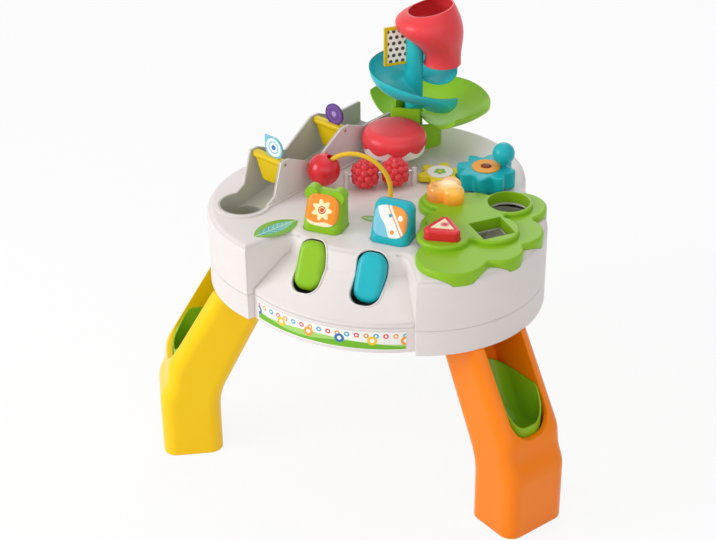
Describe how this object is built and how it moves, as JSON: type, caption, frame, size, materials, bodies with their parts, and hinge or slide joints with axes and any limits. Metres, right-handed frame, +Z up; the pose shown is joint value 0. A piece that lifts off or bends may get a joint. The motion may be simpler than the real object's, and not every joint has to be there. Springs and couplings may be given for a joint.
{
  "type": "activity table",
  "caption": "Three-legged toddler activity table with a ball tower and track, swing gates, press buttons, rocker keys, meshing gears, a bead arch and a shape sorter.",
  "frame": {"origin": "on the floor, at the middle of the overall box in plan", "axes": "+Z up, -Y towards the child at the front apron, +X towards the orange leg"},
  "size_m": [0.566, 0.515, 0.5474],
  "materials": {
    "shell_white": "fine satin moulding",
    "label_film": "printed film",
    "leg_yellow": "satin moulding",
    "leg_orange": "satin moulding",
    "leg_green": "satin moulding",
    "lime_green": "satin moulding",
    "teal": "satin moulding",
    "light_blue": "satin moulding",
    "red": "satin moulding",
    "coral_red": "satin moulding",
    "yellow": "satin moulding",
    "orange": "satin moulding",
    "purple": "printed plate",
    "white": "satin moulding",
    "track_grey": "satin moulding",
    "amber_clear": "tinted clear plastic",
    "steel": "bright wire",
    "board_green": "circuit board laminate",
    "pad_rubber": "moulded silicone",
    "cell_wrap": "wrapped cell",
    "black": "fine matt"
  },
  "bodies": {
    "table": {"deck_shell": "shell_white", "lower_shell": "shell_white", "front_label": "label_film", "shell_screws": "steel", "leg_screws": "steel", "leg_left": "leg_yellow", "leg_right": "leg_orange", "leg_rear": "leg_green", "left_ball_cup": "lime_green", "right_ball_cup": "lime_green", "battery_door": "shell_white", "battery_door_screw": "steel", "batteries": "cell_wrap", "speaker": "black", "ball_track": "track_grey", "track_fairing": "shell_white", "front_gate_axle": "steel", "rear_gate_axle": "steel", "tower_column": "lime_green", "lower_spiral": "lime_green", "upper_spiral": "teal", "tower_plaque": "yellow", "funnel": "coral_red", "key_axle": "steel", "circuit_board": "board_green", "return_pads": "pad_rubber", "mushroom_stem": "white", "bead_arch": "yellow", "berry_axle": "steel", "berry_posts": "shell_white", "gear_posts": "shell_white", "tree_panel": "lime_green", "light_dome": "amber_clear", "lamp": "white", "sorter_hopper": "track_grey", "leaf_sticker": "label_film", "sprig_sticker": "label_film"},
    "front_gate_body": {"front_gate": "yellow", "front_gate_sign": "white"},
    "rear_gate_body": {"rear_gate": "yellow", "rear_gate_sign": "purple"},
    "green_key_body": {"green_key": "lime_green"},
    "blue_key_body": {"blue_key": "teal"},
    "eared_button_body": {"eared_button": "lime_green", "eared_button_face": "orange"},
    "hooded_button_body": {"hooded_button": "teal", "hooded_button_face": "white"},
    "mushroom_body": {"mushroom_rim": "white", "mushroom_cap": "coral_red"},
    "bead_body": {"slide_bead": "red"},
    "left_berry_body": {"left_berry": "red"},
    "right_berry_body": {"right_berry": "red"},
    "crank_body": {"crank_gear": "teal", "crank_ring": "orange", "crank_knob": "light_blue"},
    "spin_body": {"spin_gear": "yellow", "spin_gear_cap": "white"},
    "triangle_body": {"triangle_button": "red", "triangle_inlay": "white"},
    "switch_body": {"power_switch": "orange"}
  },
  "joints": [
    {"name": "front_gate_swing", "type": "hinge", "parent": "table", "child": "front_gate_body", "pos_m": [-0.14542, -0.09007, 0.392], "axis": [-0.9455, 0.3256, 0], "range_deg": [0, 55]},
    {"name": "rear_gate_swing", "type": "hinge", "parent": "table", "child": "rear_gate_body", "pos_m": [-0.10831, 0.01772, 0.398], "axis": [-0.9455, 0.3256, 0], "range_deg": [0, 55]},
    {"name": "green_key_press", "type": "hinge", "parent": "table", "child": "green_key_body", "pos_m": [-0.039, -0.17755, 0.326], "axis": [1, 0, 0], "range_deg": [0, 6], "stiffness_Nm_per_rad": 0.6, "springref_deg": -8.02},
    {"name": "blue_key_press", "type": "hinge", "parent": "table", "child": "blue_key_body", "pos_m": [0.039, -0.17755, 0.326], "axis": [1, 0, 0], "range_deg": [0, 6], "stiffness_Nm_per_rad": 0.6, "springref_deg": -8.02},
    {"name": "eared_button_press", "type": "slide", "parent": "table", "child": "eared_button_body", "axis": [0, 0, -1], "range_m": [0, 0.003], "stiffness_N_per_m": 300, "springref_m": -0.006},
    {"name": "hooded_button_press", "type": "slide", "parent": "table", "child": "hooded_button_body", "axis": [0, 0, -1], "range_m": [0, 0.003], "stiffness_N_per_m": 300, "springref_m": -0.006},
    {"name": "mushroom_press", "type": "slide", "parent": "table", "child": "mushroom_body", "axis": [0, 0, -1], "range_m": [0, 0.003], "stiffness_N_per_m": 300, "springref_m": -0.006},
    {"name": "triangle_press", "type": "slide", "parent": "table", "child": "triangle_body", "axis": [0, 0, -1], "range_m": [0, 0.003], "stiffness_N_per_m": 300, "springref_m": -0.006},
    {"name": "bead_slide", "type": "hinge", "parent": "table", "child": "bead_body", "pos_m": [-0.039, -0.05905, 0.357], "axis": [0.1187, -0.9929, 0], "range_deg": [-120, 2]},
    {"name": "left_berry_spin", "type": "hinge", "parent": "table", "child": "left_berry_body", "pos_m": [-0.0345, -0.03755, 0.3655], "axis": [0.8619, 0.507, 0], "continuous": true},
    {"name": "right_berry_spin", "type": "hinge", "parent": "table", "child": "right_berry_body", "pos_m": [-0.0005, -0.01755, 0.3655], "axis": [0.8619, 0.507, 0], "continuous": true},
    {"name": "crank_turn", "type": "hinge", "parent": "table", "child": "crank_body", "pos_m": [0.108, 0.02645, 0.36], "axis": [0, 0, 1], "continuous": true},
    {"name": "spin_turn", "type": "hinge", "parent": "table", "child": "spin_body", "pos_m": [0.04733, 0.02007, 0.352], "axis": [0, 0, 1], "continuous": true},
    {"name": "power_switch_slide", "type": "slide", "parent": "table", "child": "switch_body", "axis": [1, 0, 0], "range_m": [-0.004, 0.004]}
  ],
  "couplings": [
    {"joint": "spin_turn", "follows": "crank_turn", "ratio": -1.3333}
  ]
}
